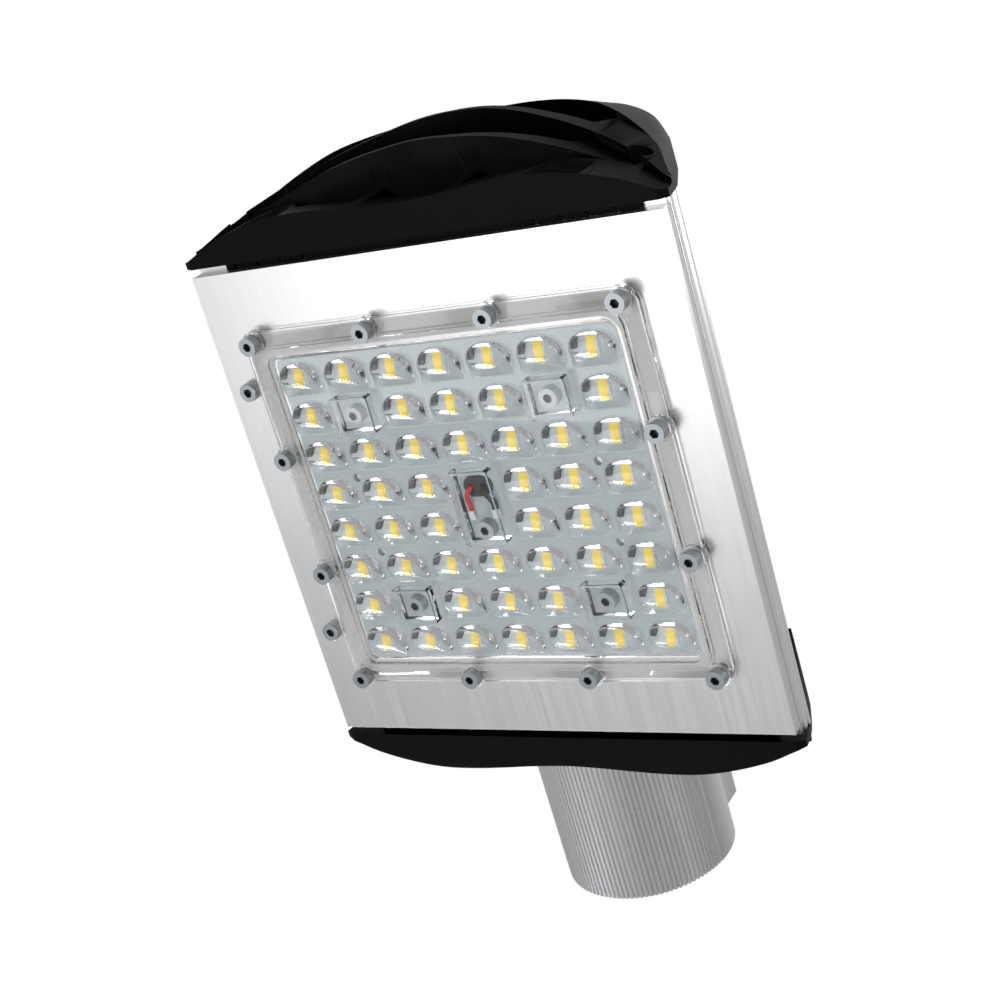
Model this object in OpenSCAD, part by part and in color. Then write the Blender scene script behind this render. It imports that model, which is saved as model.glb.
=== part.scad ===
// LED street light for a side-entry pole arm. A flat light module with moulded
// optics sits on the face of a finned aluminium extrusion. Two black end caps with
// wave-shaped blades close the extrusion, and a ribbed tube takes the pole arm.
// The lamp hangs face down: +Z is the sky, +Y points from the pole to the nose.

/* [Housing] */
// Width of the extrusion across its two side rails
housing_w = 191; // [186:1:200]
// Length of the extrusion
housing_l = 195; // [188:1:215]
// Thickness of the face plate that carries the light module
face_t = 5; // [4:0.5:6]
// How far the face plate is cut back at each end, which leaves a narrow air gap at the cap
face_notch = 3; // [2:0.5:4]
// Width of each side rail
rail_w = 13.5; // [12:0.5:15]
// Height of each side rail
rail_h = 14; // [12:0.5:16]
// Thickness of a cooling fin
fin_t = 2; // [1.6:0.2:2.6]
// Distance from the outermost fin to the side of the housing
fin_edge = 8.25; // [7:0.25:10]
// Number of cooling fins on each side of the driver chamber
fin_count = 5; // [3:1:5]
// Thickness of the chamber walls and roof
chamber_t = 3.25; // [2.5:0.25:4]

/* [End caps] */
// How far the caps stand outside the housing on each side
cap_over = 2.3; // [1.5:0.1:3.5]
// Height of the roof of the caps above the face
crown_z = 81; // [80:0.5:84]
// Thickness of the roof of the cap
cap_roof_t = 6; // [4:0.5:7]
// Thickness of the cap wall that lies on the end of the extrusion
cap_wall = 3; // [2.5:0.5:4]
// Height of the second blade above the face, in the middle of the cap
tier_2 = 20.5; // [19:0.5:22]
// Height of the third blade above the face, in the middle of the cap
tier_3 = 47; // [45:0.5:49]
// Height of the fourth blade above the face, in the middle of the cap
tier_4 = 62; // [60:0.5:64]
// Height of the lip of a blade in front of its air slot, in the middle of the cap
lip_h = 2; // [1.5:0.5:3]

/* [Pole socket] */
// Bore of the pole socket
socket_bore = 61; // [56:0.5:62]
// Wall of the pole socket
socket_wall = 3.5; // [3:0.25:4]
// Length of the pole socket
socket_l = 110; // [100:1:125]
// How much of the socket lies inside the extrusion
socket_inside = 33; // [28:1:40]
// Gap under the socket, above the chamber floor
socket_floor_gap = 1.7; // [1:0.1:3]
// Width of the flat pad on the back of the socket
pad_w = 50; // [46:1:54]
// Depth of the fine ribs on the socket
rib_depth = 0.8; // [0.4:0.1:1]
// Number of fine ribs on the socket
rib_count = 48; // [30:1:56]

/* [Light module] */
// Distance between two lenses across the lamp
lens_pitch_x = 20; // [19.6:0.1:20.2]
// Distance between two lenses along the lamp
lens_pitch_y = 15.3; // [15:0.1:15.6]
// Width of one lens
lens_w = 16.8; // [15:0.1:18]
// Length of one lens
lens_l = 13.2; // [11:0.1:14]
// Thickness of the circuit board
board_t = 1.6; // [1.2:0.2:2]
// Height of one lens above the lens sheet
lens_h = 4.5; // [3.5:0.1:5]
// Thickness of the lens sheet
sheet_t = 1.6; // [1.2:0.1:2]
// Width of the flange of the lens plate outside the raised rim
flange_w = 5.5; // [5:0.1:6.5]
// Thickness of the flange of the lens plate
flange_t = 1.5; // [1.2:0.1:2]
// Height of the screw bosses of the lens plate above the face plate
boss_h = 4; // [3.5:0.1:5]
// Height of the raised rim of the lens plate above the face plate
rim_h = 5.2; // [4.5:0.1:6]
// Thickness of the silicone gasket
gasket_t = 0.8; // [0.5:0.1:1]
// Length of one light-emitting package
led_l = 5; // [4:0.1:6]
// Width of one light-emitting package
led_w = 3.4; // [3:0.1:4]
// Height of one light-emitting package
led_h = 0.7; // [0.5:0.1:0.8]

/* [Driver and wiring] */
// Length of the sealed driver
driver_l = 86; // [80:1:92]
// Width of the sealed driver
driver_w = 60; // [54:1:64]
// Height of the sealed driver
driver_h = 36; // [30:1:38]
// Diameter of the red and black leads
lead_d = 1.7; // [1.5:0.1:2]
// Diameter of the mains lead between terminal block and driver
mains_d = 7; // [6:0.5:8]

/* [Screws] */
// Shank diameter of the small socket head screws
screw_d = 4; // [3.5:0.1:4.2]
// Head diameter of the small socket head screws
head_d = 7; // [6.5:0.1:7.2]
// Head height of the small socket head screws
head_h = 4; // [3.5:0.1:4.2]
// Width across flats of the hexagon socket
hex_af = 3; // [2.5:0.1:3.2]
// Shank diameter of the screws that hold the pole socket
socket_screw_d = 6; // [5:0.5:6]
// Shank diameter of the pole clamp bolts
clamp_d = 8; // [6:0.5:10]

/* [Hidden] */
$fn = 48;

// Clearance round a screw shank and between parts that slide together
play = 0.05;
eps = 0.01;

// Pole socket, and the chamber that grips it
socket_od = socket_bore + 2 * socket_wall;
socket_z = face_t + socket_floor_gap + socket_od / 2;
chamber_half = socket_od / 2 + 2;
chamber_top = socket_z + socket_od / 2 + play;
roof_z = chamber_top + chamber_t;
chamber_out = chamber_half + chamber_t;
mouth_y = -housing_l / 2 + socket_inside - socket_l;
socket_end_y = mouth_y + socket_l;
pad_set_back = 5.5;
rib_arc_start = -10;
rib_arc = 160;

// Outline of the caps across the lamp, in X and Z, from the face up to the roof
cap_half = housing_w / 2 + cap_over;
flank_lean = 0.5;
flank_z = 34;
flank_in = 11;
crown_half = cap_half - flank_in - flank_lean * (crown_z - flank_z);
flank_points = [[cap_half - 3.3, 0], [cap_half, 1.8], [cap_half - 0.4, 4.5], [cap_half - 1.2, 8],
    [cap_half - 2.5, 13.5], [cap_half - 5.2, 21], [cap_half - 7.6, 27], [cap_half - flank_in, flank_z],
    [crown_half, crown_z]];
joint_y = housing_l / 2;

// Fins
fin_inset = 5;
fin_step = (housing_w / 2 - fin_edge + fin_t - chamber_out) / fin_count;
function fin_x(i) = chamber_out + fin_step * (i + 1) - fin_t;
function flank_height(x) = flank_z + (cap_half - flank_in - x) / flank_lean;
function fin_top(x) = min(roof_z, x > cap_half - flank_in - fin_inset
    ? flank_z + 2 * (cap_half - flank_in - fin_inset - x) : flank_height(x + fin_inset));

// Screw ports between the fins, for the screws of the end caps
port_r = max(4.6, (fin_step - fin_t) / 2 + 0.6);
port_depth = 16;
port_low = [(fin_x(fin_count - 2) + fin_x(fin_count - 1)) / 2, 20];
port_high = [(fin_x(0) + fin_x(1)) / 2, tier_3 - 1];
port_spots = [for (s = [-1, 1]) for (p = [port_low, port_high]) [s * p[0], p[1]]];

// Each blade at even steps from the middle of the cap to its side: how far it reaches
// beyond the joint, and how far it has come down (1 in the middle, 0 at the corner)
reach_1 = [12.4, 12.9, 13.9, 14.6, 14.3, 12, 8.1, 2.5];
reach_2 = [27.6, 26.4, 24.6, 21.8, 17.5, 12.4, 7.2, 2.8];
reach_3 = [30, 29.4, 27.3, 24.5, 21, 16.3, 11, 4];
reach_4 = [25.8, 25.9, 25.8, 24.9, 22.9, 17.8, 10.5, 2.7];
fall_2 = [1, 1.07, 1.04, 0.9, 0.79, 0.68, 0.5, 0];
fall_3 = [1, 0.97, 0.89, 0.75, 0.6, 0.44, 0.23, 0];
fall_4 = [1, 0.995, 0.96, 0.9, 0.79, 0.63, 0.4, 0];
corner_2 = 6.8;
corner_3 = 7.3;
corner_4 = 7.8;
cap_reach = max(reach_3) + 1;

// Roof of the cap at the same steps: place across the cap as a share of its half width, and reach
crown_across = [0, 0.16, 0.33, 0.5, 0.68, 0.82, 0.94, 1];
crown_reach = [17.4, 17.7, 17.9, 17.8, 16.7, 14.1, 9, 0.6];
crown_bulge = 2;

// Air slots: half width at the bottom, lean of the slot ends, and ribs across the lowest slot
slot_half = [47, 57, 60];
slot_lean = 0.6;
window_low = 8;
post_x = 19.5;
post_w = 5;
lip_rise = 0.08;
vent_edge = 2;

// Light module, stacked downwards from the face plate at z = 0
lens_cols = 7;
lens_rows = 8;
board_w = (lens_cols - 1) * lens_pitch_x + 18;
board_l = (lens_rows - 1) * lens_pitch_y + 14.9;
board_gap = 1.4;
rim_wall = 4.3;
rim_in_w = board_w + 2 * board_gap;
rim_in_l = board_l + 2 * board_gap;
rim_w = rim_in_w + 2 * rim_wall;
rim_l = rim_in_l + 2 * rim_wall;
plate_w = rim_w + 2 * flange_w;
plate_l = rim_l + 2 * flange_w;
rim_corner = 7;
sheet_top = board_t + 0.1;
sheet_low = sheet_top + sheet_t;
lens_low = sheet_low + lens_h;
cover_w = 17;
cover_l = 14.4;
cover_wall = 1.2;
cover_h = board_t + head_h + 1.7;
tall_cover_l = 28.6;
boss_r = 4.4;
lens_screw_y = plate_l / 2 - 3.6;
lens_screw_x = plate_w / 2 - 3.7;
lens_screw_corner_x = plate_w / 2 - 5.5;
lens_screw_mid_x = 25;
lens_screw_side_y = 23.5;
lens_screw_grip = face_t - 0.5;
screw_r = screw_d / 2;
hole_r = screw_r + play;
centre_screw_y = -9;
tool_hole_x = 50;
tool_hole_y = [13, -17.2];

// Screws that stand beside the lens plate on one side of the face
side_screw_x = plate_w / 2 + head_d / 2 + 1.2;
side_screw_y = 50;
side_screw_grip = 8;

// Wire passage through face plate and board
slot_y = 6.8;
slot_l = 11;
slot_w = 8;
lead_gap = 2.4;
lead_r = lead_d / 2;
solder_y = -2.1;
pad_x = 4.8;
grommet_low = board_t + 0.6;

// Driver and terminal block
driver_nose = joint_y - 13.5;
driver_tail = driver_nose - driver_l;
driver_y = (driver_nose + driver_tail) / 2;
driver_z = chamber_top - driver_h;
driver_screw_x = driver_w / 2 - 6;
driver_screw_y = driver_l / 2 - 10;
driver_screw_grip = 8;
block_l = 18;
block_w = 34;
block_h = 16;
block_y = socket_end_y + 10 + block_l / 2;
block_poles = 3;
block_screw_x = block_w / 2 - 4;

// Screws of the pole socket and its clamp
socket_screw_x = pad_w / 2 - 4.5;
socket_screw_ys = [-joint_y + 8, -joint_y + 22];
socket_screw_grip = 6.5;
clamp_edge = 12;
clamp_gap = 9.5;
clamp_ys = [mouth_y + clamp_edge, -joint_y - cap_reach - clamp_gap];
clamp_head_h = 5.3;
clamp_head_af = 13;

// Moves a piece from the centre of the face to the mouth of the pole socket
module in_frame() translate([0, -mouth_y, -socket_z]) children();

// Points of a smooth curve through the heights in a list
function mid_curve(a, b, c, d, t) =
    0.5 * (2 * b + (c - a) * t + (2 * a - 5 * b + 4 * c - d) * t * t
    + (3 * b - a - 3 * c + d) * t * t * t);
function at(list, i) = i < 0 ? list[-i] : i > len(list) - 1 ? list[len(list) - 1] : list[i];
function curve(list, u) = let (i = min(floor(u), len(list) - 2), t = u - i)
    mid_curve(at(list, i - 1), at(list, i), at(list, i + 1), at(list, i + 2), t);

// Rows and columns where the lens grid leaves room for a screw or the wires
function screw_gap(c, r) = (r == 1 || r == 6) && (c == 1 || c == 5);
function wire_gap(c, r) = c == 3 && (r == 3 || r == 4);
function lens_x(c) = (c - (lens_cols - 1) / 2) * lens_pitch_x;
function lens_y(r) = ((lens_rows - 1) / 2 - r) * lens_pitch_y;
lens_spots = [for (r = [0:lens_rows - 1]) for (c = [0:lens_cols - 1])
    if (!screw_gap(c, r) && !wire_gap(c, r)) [lens_x(c), lens_y(r)]];
window_spots = [for (r = [1, 6]) for (c = [1, 5]) [lens_x(c), lens_y(r)]];
board_screw_spots = concat(window_spots, [[0, centre_screw_y]]);
lens_screw_spots = concat(
    [for (sx = [-1, 1]) for (sy = [-1, 1]) [sx * lens_screw_corner_x, sy * lens_screw_y]],
    [for (sx = [-1, 1]) for (sy = [-1, 1]) [sx * lens_screw_mid_x, sy * lens_screw_y]],
    [for (sx = [-1, 1]) for (sy = [-1, 1]) [sx * lens_screw_x, sy * lens_screw_side_y]]);
side_screw_spots = [for (s = [-1, 1]) [side_screw_x, s * side_screw_y]];
driver_screw_spots = [for (sx = [-1, 1]) for (sy = [-1, 1])
    [sx * driver_screw_x, driver_y + sy * driver_screw_y]];
socket_screw_spots = [for (s = [-1, 1]) for (y = socket_screw_ys) [s * socket_screw_x, y]];

// Flat shapes
module round_rect(w, l, r) {
    square([w - 2 * r, l], center = true);
    square([w, l - 2 * r], center = true);
    for (sx = [-1, 1]) for (sy = [-1, 1])
        translate([sx * (w / 2 - r), sy * (l / 2 - r)]) circle(r);
}

// Plate that hangs from z = -top down to z = -low
module slab(top, low) translate([0, 0, -low]) linear_extrude(low - top) children();

// Section of the caps across the lamp, in X and Z
flank_last = len(flank_points) - 1;
module cap_section() polygon(concat(flank_points,
    [for (i = [flank_last:-1:0]) [-flank_points[i][0], flank_points[i][1]]]));

// Outline of one blade of the cap, seen from below, with the joint at y = 0
wave_steps = 4;
wave_count = (len(reach_1) - 1) * wave_steps;
function wave_x(i) = cap_half * i / wave_count;
function wave(list, i) = curve(list, abs(i) / wave_steps);
module blade_outline(reach) polygon(concat(
    [for (i = [-wave_count:wave_count]) [wave_x(i), wave(reach, i)]],
    [[cap_half, 0], [-cap_half, 0]]));

// Height of the lower edge of each blade
reaches = [reach_1, reach_2, reach_3];
function arch(top, corner, fall, i) = corner + (top - corner) * wave(fall, i);
function blade_z(k, i) = k == 0 ? 0 : k == 1 ? arch(tier_2, corner_2, fall_2, i)
    : k == 2 ? arch(tier_3, corner_3, fall_3, i) : arch(tier_4, corner_4, fall_4, i);

// Band between the lower edges of two blades, in X and Z
module blade_band(k) polygon(concat(
    [for (i = [-wave_count:wave_count]) [wave_x(i), blade_z(k, i)]],
    [for (i = [wave_count:-1:-wave_count]) [wave_x(i), blade_z(k + 1, i)]]));

// Air slot between the lip of one blade and the next blade, in X and Z
slot_count = wave_count - wave_steps;
function slot_floor(k, i) = k == 0 ? window_low : blade_z(k, i) + lip_h + lip_rise * abs(wave_x(i));
module slot_band(k) intersection() {
    polygon(concat([for (i = [-slot_count:slot_count]) [wave_x(i), slot_floor(k, i)]],
        [for (i = [slot_count:-1:-slot_count]) [wave_x(i), blade_z(k + 1, i)]]));
    slot_ends(slot_half[k], slot_floor(k, wave_count * slot_half[k] / cap_half));
}

// Slanted ends of a slot that is half wide at the height floor_z
module slot_ends(half, floor_z) {
    low = half - slot_lean * floor_z;
    high = half + slot_lean * (crown_z - floor_z);
    polygon([[-low, 0], [low, 0], [high, crown_z], [-high, crown_z]]);
}

// Shape in X and Z, drawn out along +Y from y = start to y = end
module along(start, end) translate([0, start, 0]) rotate([90, 0, 0]) mirror([0, 0, 1])
    linear_extrude(end - start) children();

// Screws. The head's seat is at z = 0 and the shank points up
module socket_screw(shank, d = screw_d, hd = head_d, hh = head_h, af = hex_af) {
    difference() {
        union() {
            cylinder(h = shank, d = d);
            translate([0, 0, -hh]) cylinder(h = hh, d = hd);
        }
        translate([0, 0, -hh - eps]) cylinder(h = hh * 0.55, r = af / sqrt(3), $fn = 6);
    }
}

// Extrusion

// Fine grooves and ribs of a side rail, cut from the plain rail
groove_x = housing_w / 2 - 4.5;
groove_pitch = 0.8;
groove_w = 0.35;
groove_d = 0.4;
module rail_section() {
    difference() {
        translate([housing_w / 2 - rail_w, 0]) square([rail_w, rail_h]);
        for (i = [-2:2]) translate([groove_x + i * groove_pitch, 0])
            square([groove_w, 2 * groove_d], center = true);
        translate([housing_w / 2 - 0.5, 1]) square([1, 3.6]);
        translate([housing_w / 2 - 0.9, 4.8]) square([1, 0.8]);
        translate([housing_w / 2, 7]) circle(1.3);
        translate([housing_w / 2, 11]) circle(0.8);
        translate([housing_w / 2 - 0.2, rail_h - 0.4]) square(1);
    }
    translate([housing_w / 2 - 1.2, 9.1]) circle(1.2);
}

module fin_section(i) {
    x = fin_x(i);
    translate([x - fin_t / 2, 0]) square([fin_t, fin_top(x + fin_t / 2)]);
    translate([x, fin_top(x + fin_t / 2)]) circle(fin_t / 2);
}

module half_housing_section() {
    rail_section();
    square([housing_w / 2 - 2, face_t]);
    for (i = [0:fin_count - 1]) fin_section(i);
    translate([chamber_half, 0]) square([chamber_t, roof_z]);
    translate([0, chamber_top]) square([chamber_out, chamber_t]);
    translate(port_low) circle(port_r);
    translate(port_high) circle(port_r);
}

module housing_profile() in_frame() color("silver") {
    difference() {
        rotate([90, 0, 0]) linear_extrude(housing_l, center = true) difference() {
            union() {
                half_housing_section();
                mirror([1, 0]) half_housing_section();
            }
            for (p = port_spots) translate(p) circle(hole_r);
        }
        for (s = [-1, 1]) translate([-housing_w / 2 - 1, s * joint_y - face_notch, -1])
            cube([housing_w + 2, 2 * face_notch, face_t + 1]);
        for (p = concat(board_screw_spots, lens_screw_spots)) translate([p[0], p[1], -1])
            cylinder(h = face_t + 1, r = hole_r);
        for (p = side_screw_spots) translate([p[0], p[1], -1])
            cylinder(h = side_screw_grip + 1.5, r = hole_r);
        for (p = driver_screw_spots) translate([p[0], p[1], chamber_top - 1])
            cylinder(h = chamber_t + 2, r = hole_r);
        for (p = socket_screw_spots) translate([p[0], p[1], chamber_top - 1])
            cylinder(h = chamber_t + 2, r = socket_screw_d / 2 + play);
        for (s = [-1, 1]) translate([s * block_screw_x, block_y, -1])
            cylinder(h = face_t + 2, r = hole_r);
        wire_slot(-1, face_t + 1, 0);
    }
}

// End caps

// Top of the cap above the fourth blade: its walls lean from the edge of the blade to the roof
crown_rows = [0, 0.35, 0.7, 1];
function mix(a, b, t) = a + (b - a) * t;
function crown_point(i, t) = let (n = abs(i), side = i < 0 ? -1 : 1)
    [side * (mix(wave_x(n), crown_half * wave(crown_across, n), t)
        + crown_bulge * sin(180 * t) * n / wave_count),
    mix(wave(reach_4, n), wave(crown_reach, n), t), mix(blade_z(3, n), crown_z, t)];
function crown_ring(i) = concat([[crown_point(i, 0)[0], 0, crown_point(i, 0)[2]]],
    [for (t = crown_rows) crown_point(i, t)], [[crown_point(i, 1)[0], 0, crown_z]]);
module crown() {
    n = len(crown_rows) + 2;
    rings = 2 * wave_count + 1;
    polyhedron(
        points = [for (i = [-wave_count:wave_count]) for (p = crown_ring(i)) p],
        faces = concat(
            [[for (k = [0:n - 1]) k], [for (k = [n - 1:-1:0]) (rings - 1) * n + k]],
            [for (i = [0:rings - 2]) for (k = [0:n - 1]) let (m = (k + 1) % n, a = i * n, b = a + n)
                for (f = [[a + k, b + k, b + m], [a + k, b + m, a + m]]) f]));
}

// Solid form of one cap, with the joint at y = 0 and the cap reaching to +Y
module cap_form() intersection() {
    along(0, cap_reach) cap_section();
    union() {
        for (k = [0:2]) intersection() {
            linear_extrude(crown_z) blade_outline(reaches[k]);
            along(0, cap_reach) blade_band(k);
        }
        crown();
    }
}

// Air slots above the lips of the blades, from the joint wall out to the open
module air_slots() {
    difference() {
        along(cap_wall, cap_reach) slot_band(0);
        for (s = [-1, 1]) translate([s * post_x - post_w / 2, 0, 0]) cube([post_w, cap_reach, tier_3]);
    }
    for (k = [1, 2]) along(cap_wall, cap_reach) slot_band(k);
    translate([-slot_half[0], cap_wall, tier_4 - 14])
        cube([2 * slot_half[0], crown_reach[4] - 2 * cap_wall, crown_z - cap_roof_t - tier_4 + 14]);
}

// Openings in the joint wall where air leaves the channels between the fins
module fin_vents() difference() {
    intersection() {
        along(-1, cap_wall + 1) for (k = [1, 2]) slot_band(k);
        for (s = [-1, 1]) translate([s * (chamber_out + slot_half[1]) / 2, 0, crown_z / 2])
            cube([slot_half[1] - chamber_out - 2 * vent_edge, 3 * cap_wall, crown_z], center = true);
    }
    for (s = [-1, 1]) translate([s * port_high[0], 0, port_high[1]]) rotate([90, 0, 0])
        cylinder(h = 4 * cap_wall, r = head_d / 2 + 1.5, center = true);
}

module cap_body() difference() {
    cap_form();
    air_slots();
    fin_vents();
    for (p = port_spots) translate([p[0], 0, p[1]]) rotate([-90, 0, 0]) {
        translate([0, 0, -1]) cylinder(h = cap_reach, r = hole_r);
        translate([0, 0, cap_wall]) cylinder(h = cap_reach, r = head_d / 2 + 0.6);
    }
}

module nose_cap() in_frame() color("#1c1c1e") translate([0, joint_y, 0]) cap_body();

module rear_cap() in_frame() color("#1c1c1e") difference() {
    translate([0, -joint_y, 0]) mirror([0, 1, 0]) cap_body();
    translate([0, -joint_y - 50, socket_z]) rotate([-90, 0, 0])
        cylinder(h = 60, r = socket_od / 2 + 0.4);
    translate([-pad_w / 2 - 0.4, -joint_y - 50, socket_z])
        cube([pad_w + 0.8, 60, socket_od / 2 + 0.4]);
}

module cap_screws(s) for (p = port_spots)
    translate([p[0], s * (joint_y + cap_wall), p[1]]) rotate([s * 90, 0, 0])
        socket_screw(cap_wall + port_depth);

module nose_cap_screws() in_frame() color("lightgray") cap_screws(1);
module rear_cap_screws() in_frame() color("lightgray") cap_screws(-1);

// Light module

// Long hole for the leads, from z = low to z = top, smaller by in all round
module wire_slot(low, top, in) translate([0, slot_y, low]) linear_extrude(top - low) {
    square([slot_l - slot_w, slot_w - 2 * in], center = true);
    for (s = [-1, 1]) translate([s * (slot_l - slot_w) / 2, 0]) circle(slot_w / 2 - in);
}

module led_board() in_frame() color("#a5b2b8") difference() {
    slab(0, board_t) round_rect(board_w, board_l, 3);
    for (p = board_screw_spots) translate([p[0], p[1], -board_t - 1])
        cylinder(h = board_t + 2, r = hole_r);
    for (s = [-1, 1]) for (y = tool_hole_y) translate([s * tool_hole_x, y, -board_t - 1])
        cylinder(h = board_t + 2, r = 1.6);
    wire_slot(-board_t - 1, 1, 0);
}

module led_packages() in_frame() color("gold") for (p = lens_spots)
    translate([p[0] - led_w / 2, p[1] - led_l / 2, -board_t - led_h]) cube([led_w, led_l, led_h]);

module board_screws() in_frame() color("lightgray") for (p = board_screw_spots)
    translate([p[0], p[1], -board_t]) socket_screw(board_t + lens_screw_grip);

module lens_gasket() in_frame() color("#d8d8d4") difference() {
    slab(0, gasket_t) round_rect(plate_w - 2, plate_l - 2, 5);
    slab(-1, gasket_t + 1) round_rect(rim_in_w + 2, rim_in_l + 2, rim_corner);
    for (p = lens_screw_spots) translate([p[0], p[1], -gasket_t - 1])
        cylinder(h = gasket_t + 2, r = hole_r + 0.2);
}

// One lens: two low domes side by side, cut to the lens pad, with a straight prism
dome_r = 8.5;
dome_split = 2.2;
prism_w = 11;
module lens_shape() {
    intersection() {
        union() for (s = [-1, 1])
            translate([s * dome_split, 0.8, dome_r - lens_low]) sphere(dome_r);
        translate([-lens_w / 2, -lens_l / 2 + 1, -lens_low - 1])
            cube([lens_w, lens_l - 1, lens_h + 1.5]);
    }
    translate([0, -lens_l / 2, -sheet_low]) rotate([90, 180, 90])
        linear_extrude(prism_w, center = true)
            polygon([[0, -0.5], [-3.6, -0.5], [-2.6, lens_h - 1.6], [-1.4, lens_h - 1.6]]);
}

// Flat-topped cover over a screw head or the wires
module cover_shape(w, l) slab(sheet_top, cover_h) round_rect(w, l, 1.5);
module cover_space(w, l) slab(sheet_top - 1, cover_h - cover_wall)
    square([w - 2 * cover_wall, l - 2 * cover_wall], center = true);

module lens_plate() in_frame() color("lightcyan", 0.5) difference() {
    union() {
        difference() {
            union() {
                slab(gasket_t, gasket_t + flange_t) round_rect(plate_w, plate_l, 6);
                slab(gasket_t, rim_h - 1.2) round_rect(rim_w, rim_l, rim_corner);
                slab(gasket_t, rim_h) round_rect(rim_w - 1.4, rim_l - 1.4, rim_corner - 0.7);
            }
            slab(-1, sheet_top) round_rect(rim_in_w, rim_in_l, 4);
            slab(sheet_low, rim_h - 0.9) round_rect(rim_in_w, rim_in_l, 4);
            slab(sheet_low, rim_h + 1) round_rect(rim_in_w + 1.6, rim_in_l + 1.6, 4.8);
            for (p = lens_screw_spots) translate([p[0], p[1], -rim_h - 1])
                cylinder(h = rim_h + 1 - boss_h, r = boss_r);
        }
        for (p = lens_screw_spots) translate([p[0], p[1], -boss_h])
            cylinder(h = boss_h - gasket_t, r = boss_r);
        for (p = lens_spots) translate([p[0], p[1], 0]) lens_shape();
        for (p = window_spots) translate([p[0], p[1], 0]) cover_shape(cover_w, cover_l);
        cover_shape(cover_w, tall_cover_l);
    }
    for (p = window_spots) translate([p[0], p[1], 0]) cover_space(cover_w, cover_l);
    cover_space(cover_w, tall_cover_l);
    for (p = lens_spots) translate([p[0], p[1], -sheet_top + 0.5]) sphere(3.7);
    for (p = lens_screw_spots) translate([p[0], p[1], -boss_h - 1])
        cylinder(h = boss_h + 2, r = hole_r);
}

module lens_screws() in_frame() color("lightgray") for (p = lens_screw_spots)
    translate([p[0], p[1], -boss_h]) socket_screw(boss_h + lens_screw_grip);

module side_screws() in_frame() color("lightgray") for (p = side_screw_spots)
    translate([p[0], p[1], 0]) socket_screw(side_screw_grip);

// Leads

// Tube with round section along a list of points
lead_sides = 8;
function unit(v) = v / norm(v);
function way(path, i) = unit(path[min(i + 1, len(path) - 1)] - path[max(i - 1, 0)]);
function ring(path, i, r, side) = let (w = way(path, i), a = unit(cross(w, side)), b = cross(w, a))
    [for (k = [0:lead_sides - 1]) path[i] + r * (cos(k * 360 / lead_sides) * a
    + sin(k * 360 / lead_sides) * b)];
module tube(path, r, side) {
    rings = len(path);
    polyhedron(
        points = [for (i = [0:rings - 1]) for (p = ring(path, i, r, side)) p],
        faces = concat(
            [[for (k = [0:lead_sides - 1]) k]],
            [for (i = [0:rings - 2]) for (k = [0:lead_sides - 1]) let (n = (k + 1) % lead_sides)
                [i * lead_sides + k, (i + 1) * lead_sides + k,
                (i + 1) * lead_sides + n, i * lead_sides + n]],
            [[for (k = [lead_sides - 1:-1:0]) (rings - 1) * lead_sides + k]]));
}

// Smooth path through a few chosen points
path_steps = 4;
function smooth(points) = concat([for (i = [0:len(points) - 2]) for (k = [0:path_steps - 1])
    mid_curve(points[max(i - 1, 0)], points[i], points[i + 1],
    points[min(i + 2, len(points) - 1)], k / path_steps)], [points[len(points) - 1]]);

// Route of the lead on one side, from the driver's nose end to its solder joint
function lead_route(s) = [
    [s * 6, driver_nose + play, driver_z + 16],
    [s * 6, driver_nose + 5, driver_z + 15],
    [s * 6, driver_nose + 8, driver_z + 6],
    [s * 6, driver_nose + 6, face_t + 14],
    [s * 6, driver_nose - 6, face_t + 6],
    [s * 6, 50, face_t + 3],
    [s * 5, 22, face_t + 3],
    [s * 3, slot_y + 5, face_t + 5],
    [s * lead_gap, slot_y, face_t + 2.8],
    [s * lead_gap, slot_y, face_t + 1.4],
    [s * lead_gap, slot_y, 0],
    [s * lead_gap, slot_y, -grommet_low],
    [s * lead_gap, slot_y - 0.2, -grommet_low - 1],
    [s * (pad_x - 1), slot_y - 2.2, -grommet_low - 2],
    [s * (pad_x - 0.2), slot_y - 4.6, -grommet_low - 1.2],
    [s * pad_x, solder_y + 2.4, -board_t - lead_r - 0.1],
    [s * pad_x, solder_y + 1.2, -board_t - lead_r - 0.1],
    [s * pad_x, solder_y + play, -board_t - lead_r - 0.1]];

module red_lead() in_frame() color("crimson") tube(smooth(lead_route(1)), lead_r, [1, 0, 0]);
module black_lead() in_frame() color("#202020") tube(smooth(lead_route(-1)), lead_r, [1, 0, 0]);

module solder_joints() in_frame() color("gainsboro") for (s = [-1, 1])
    translate([s * pad_x - 1.1, solder_y - 3.4, -board_t - 1.7]) cube([2.2, 3.4, 1.7]);

module wire_grommet() in_frame() color("#181818") difference() {
    wire_slot(-grommet_low, face_t + 1.5, 0.1);
    for (s = [-1, 1]) translate([s * lead_gap, slot_y, -grommet_low - 1])
        cylinder(h = face_t + grommet_low + 4, r = lead_r + 0.3);
}

// Driver, terminal block and mains lead

driver_corner = 4;
module driver() in_frame() color("#c9ccce") difference() {
    translate([0, driver_y + driver_l / 2, driver_z + driver_h / 2]) rotate([90, 0, 0])
        linear_extrude(driver_l) round_rect(driver_w, driver_h, driver_corner);
    for (p = driver_screw_spots) translate([p[0], p[1], chamber_top - driver_screw_grip - 1])
        cylinder(h = driver_screw_grip + 2, r = hole_r);
}

module driver_screws() in_frame() color("lightgray") for (p = driver_screw_spots)
    translate([p[0], p[1], roof_z]) mirror([0, 0, 1]) socket_screw(chamber_t + driver_screw_grip);

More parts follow.
